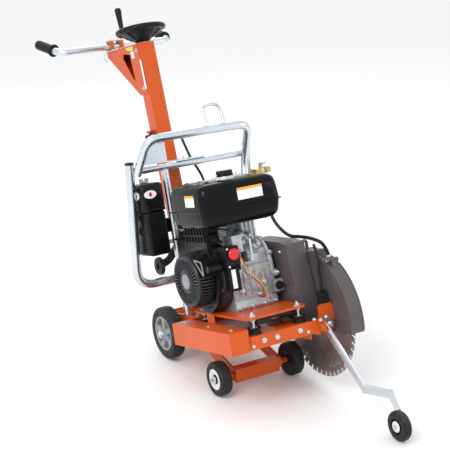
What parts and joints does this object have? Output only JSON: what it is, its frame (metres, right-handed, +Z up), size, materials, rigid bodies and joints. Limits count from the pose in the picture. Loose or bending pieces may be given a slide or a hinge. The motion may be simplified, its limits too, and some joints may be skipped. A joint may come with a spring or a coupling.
{
  "type": "walk-behind concrete saw",
  "caption": "Petrol floor saw with a diamond blade under a hinged guard, a raising front carrier, a square column with handwheel, and a tilting handlebar.",
  "frame": {"origin": "centre of the bounding box at ground level", "axes": "+Z up, forward is -Y, the blade side is +X"},
  "size_m": [0.609, 1.8998, 1.2275],
  "materials": {
    "orange_paint": "gloss",
    "zinc": "satin",
    "steel": "satin",
    "cast_alloy": "matte",
    "black_plastic": "satin",
    "tank_black": "gloss",
    "guard_paint": "satin",
    "heat_black": "matte",
    "rubber": "matte",
    "tyre": "matte",
    "blade_steel": "satin",
    "brass": "satin",
    "red_plastic": "gloss",
    "blue_plastic": "gloss",
    "grey_plastic": "satin",
    "cable": "satin"
  },
  "bodies": {
    "frame": {"chassis": "orange_paint", "front_bar": "orange_paint", "mounting_bolts": "zinc", "guard_bracket": "orange_paint", "engine_plate": "orange_paint", "isolators": "rubber", "axle_shafts": "steel", "column": "orange_paint", "handlebar_bracket": "orange_paint", "lifting_frame": "zinc", "stop_box": "black_plastic", "crankcase": "cast_alloy", "cylinder_block": "cast_alloy", "fan_housing": "black_plastic", "recoil_cover": "grey_plastic", "fuel_tank_lower": "tank_black", "fuel_tank_upper": "tank_black", "air_cleaner": "black_plastic", "carburettor": "cast_alloy", "muffler": "heat_black", "exhaust_deflector": "heat_black", "switch_box": "black_plastic", "wiring": "cable", "belt_guard": "guard_paint", "v_belts": "rubber", "blade_bearings": "cast_alloy", "blade_guard": "guard_paint", "water_hose": "rubber", "water_valve": "brass"},
    "rear_right_wheel": {"rear_right_rim": "cast_alloy", "rear_right_tyre": "tyre"},
    "rear_left_wheel": {"rear_left_rim": "cast_alloy", "rear_left_tyre": "tyre"},
    "carrier": {"front_carrier": "orange_paint"},
    "nose_right_wheel": {"front_right_wheel": "tyre"},
    "nose_left_wheel": {"front_left_wheel": "tyre"},
    "lift_wheel": {"handwheel": "black_plastic", "lift_screw": "steel"},
    "wheel_knob": {"crank_knob": "black_plastic"},
    "push_rod": {"lift_nut": "steel"},
    "crank": {"crankshaft": "steel", "drive_pulley": "guard_paint"},
    "arbor": {"blade_shaft": "steel", "driven_pulley": "guard_paint", "blade_flanges": "steel", "blade": "blade_steel"},
    "front_flap": {"guard_flap": "guard_paint"},
    "pointer": {"pointer_arm": "zinc"},
    "pointer_roller": {"pointer_wheel": "tyre"},
    "bar": {"handlebar": "zinc", "grips": "rubber"},
    "stop_plunger": {"stop_button": "red_plastic"},
    "starter_pull": {"recoil_handle": "black_plastic"},
    "tank_cap": {"fuel_cap": "black_plastic"},
    "wing_nut": {"cleaner_nut": "steel"},
    "choke": {"choke_lever": "black_plastic"},
    "throttle": {"throttle_lever": "black_plastic"},
    "ignition_knob": {"engine_switch": "red_plastic"},
    "dipstick": {"oil_cap": "black_plastic"},
    "valve_lever": {"water_lever": "blue_plastic"}
  },
  "joints": [
    {"name": "rear_right_axle", "type": "hinge", "parent": "frame", "child": "rear_right_wheel", "pos_m": [-0.01754, 0.03264, 0.1], "axis": [1, 0, 0], "continuous": true},
    {"name": "rear_left_axle", "type": "hinge", "parent": "frame", "child": "rear_left_wheel", "pos_m": [-0.01754, 0.03264, 0.1], "axis": [1, 0, 0], "continuous": true},
    {"name": "carrier_pivot", "type": "hinge", "parent": "frame", "child": "carrier", "pos_m": [-0.01754, -0.05228, 0.11], "axis": [-1, 0, 0], "range_deg": [0, 20]},
    {"name": "front_right_axle", "type": "hinge", "parent": "carrier", "child": "nose_right_wheel", "pos_m": [-0.01754, -0.32236, 0.0625], "axis": [1, 0, 0], "continuous": true},
    {"name": "front_left_axle", "type": "hinge", "parent": "carrier", "child": "nose_left_wheel", "pos_m": [-0.01754, -0.32236, 0.0625], "axis": [1, 0, 0], "continuous": true},
    {"name": "handwheel_turn", "type": "hinge", "parent": "frame", "child": "lift_wheel", "pos_m": [-0.01754, 0.51831, 1.09569], "axis": [0, 0.3843, 0.9232], "range_deg": [0, 2980]},
    {"name": "knob_spin", "type": "hinge", "parent": "lift_wheel", "child": "wheel_knob", "pos_m": [-0.06754, 0.60629, 1.14572], "axis": [0, 0.3843, 0.9232], "continuous": true},
    {"name": "nut_travel", "type": "slide", "parent": "frame", "child": "push_rod", "axis": [0, -0.3843, -0.9232], "range_m": [0, 0.052]},
    {"name": "crank_turn", "type": "hinge", "parent": "frame", "child": "crank", "pos_m": [-0.01754, -0.20102, 0.40645], "axis": [1, 0, 0], "continuous": true},
    {"name": "blade_turn", "type": "hinge", "parent": "frame", "child": "arbor", "pos_m": [-0.01754, -0.40733, 0.2576], "axis": [1, 0, 0], "continuous": true},
    {"name": "flap_hinge", "type": "hinge", "parent": "frame", "child": "front_flap", "pos_m": [0.19146, -0.48117, 0.49897], "axis": [-1, 0, 0], "range_deg": [0, 70]},
    {"name": "pointer_fold", "type": "hinge", "parent": "frame", "child": "pointer", "pos_m": [0.10946, -0.56369, 0.30375], "axis": [-1, 0, 0], "range_deg": [0, 75]},
    {"name": "pointer_axle", "type": "hinge", "parent": "pointer", "child": "pointer_roller", "pos_m": [0.18646, -0.89736, 0.0525], "axis": [1, 0, 0], "continuous": true},
    {"name": "bar_tilt", "type": "hinge", "parent": "frame", "child": "bar", "pos_m": [-0.01754, 0.77882, 1.04328], "axis": [1, 0, 0], "range_deg": [-30, 40]},
    {"name": "stop_push", "type": "slide", "parent": "frame", "child": "stop_plunger", "axis": [0, -0.3843, -0.9232], "range_m": [0, 0.004], "stiffness_N_per_m": 400, "springref_m": -0.001},
    {"name": "starter_rope", "type": "slide", "parent": "frame", "child": "starter_pull", "axis": [0, -0.9537, 0.3007], "range_m": [0, 0.5], "stiffness_N_per_m": 30, "springref_m": -0.2},
    {"name": "fuel_cap_turn", "type": "hinge", "parent": "frame", "child": "tank_cap", "pos_m": [-0.08754, -0.22262, 0.78024], "axis": [0, 0.3007, 0.9537], "range_deg": [0, 90]},
    {"name": "cleaner_nut_turn", "type": "hinge", "parent": "frame", "child": "wing_nut", "pos_m": [-0.20154, 0.17693, 0.65741], "axis": [0, 0.3007, 0.9537], "continuous": true},
    {"name": "choke_turn", "type": "hinge", "parent": "frame", "child": "choke", "pos_m": [-0.07754, 0.08616, 0.50254], "axis": [0, -0.9537, 0.3007], "range_deg": [0, 45]},
    {"name": "throttle_turn", "type": "hinge", "parent": "frame", "child": "throttle", "pos_m": [-0.05154, 0.08496, 0.49872], "axis": [0, -0.9537, 0.3007], "range_deg": [0, 70]},
    {"name": "ignition_turn", "type": "hinge", "parent": "frame", "child": "ignition_knob", "pos_m": [-0.12554, -0.33885, 0.53798], "axis": [0, -0.9537, 0.3007], "range_deg": [0, 60]},
    {"name": "oil_cap_turn", "type": "hinge", "parent": "frame", "child": "dipstick", "pos_m": [0.06146, -0.34771, 0.3835], "axis": [0, -0.9537, 0.3007], "continuous": true},
    {"name": "water_lever_turn", "type": "hinge", "parent": "frame", "child": "valve_lever", "pos_m": [0.26846, 0.11058, 0.67309], "axis": [0, 0.3007, 0.9537], "range_deg": [0, 90]}
  ],
  "couplings": [
    {"joint": "handwheel_turn", "follows": "carrier_pivot", "ratio": 148.7},
    {"joint": "nut_travel", "follows": "carrier_pivot", "m_per_rad": 0.1435},
    {"joint": "blade_turn", "follows": "crank_turn", "ratio": 1.3043}
  ]
}
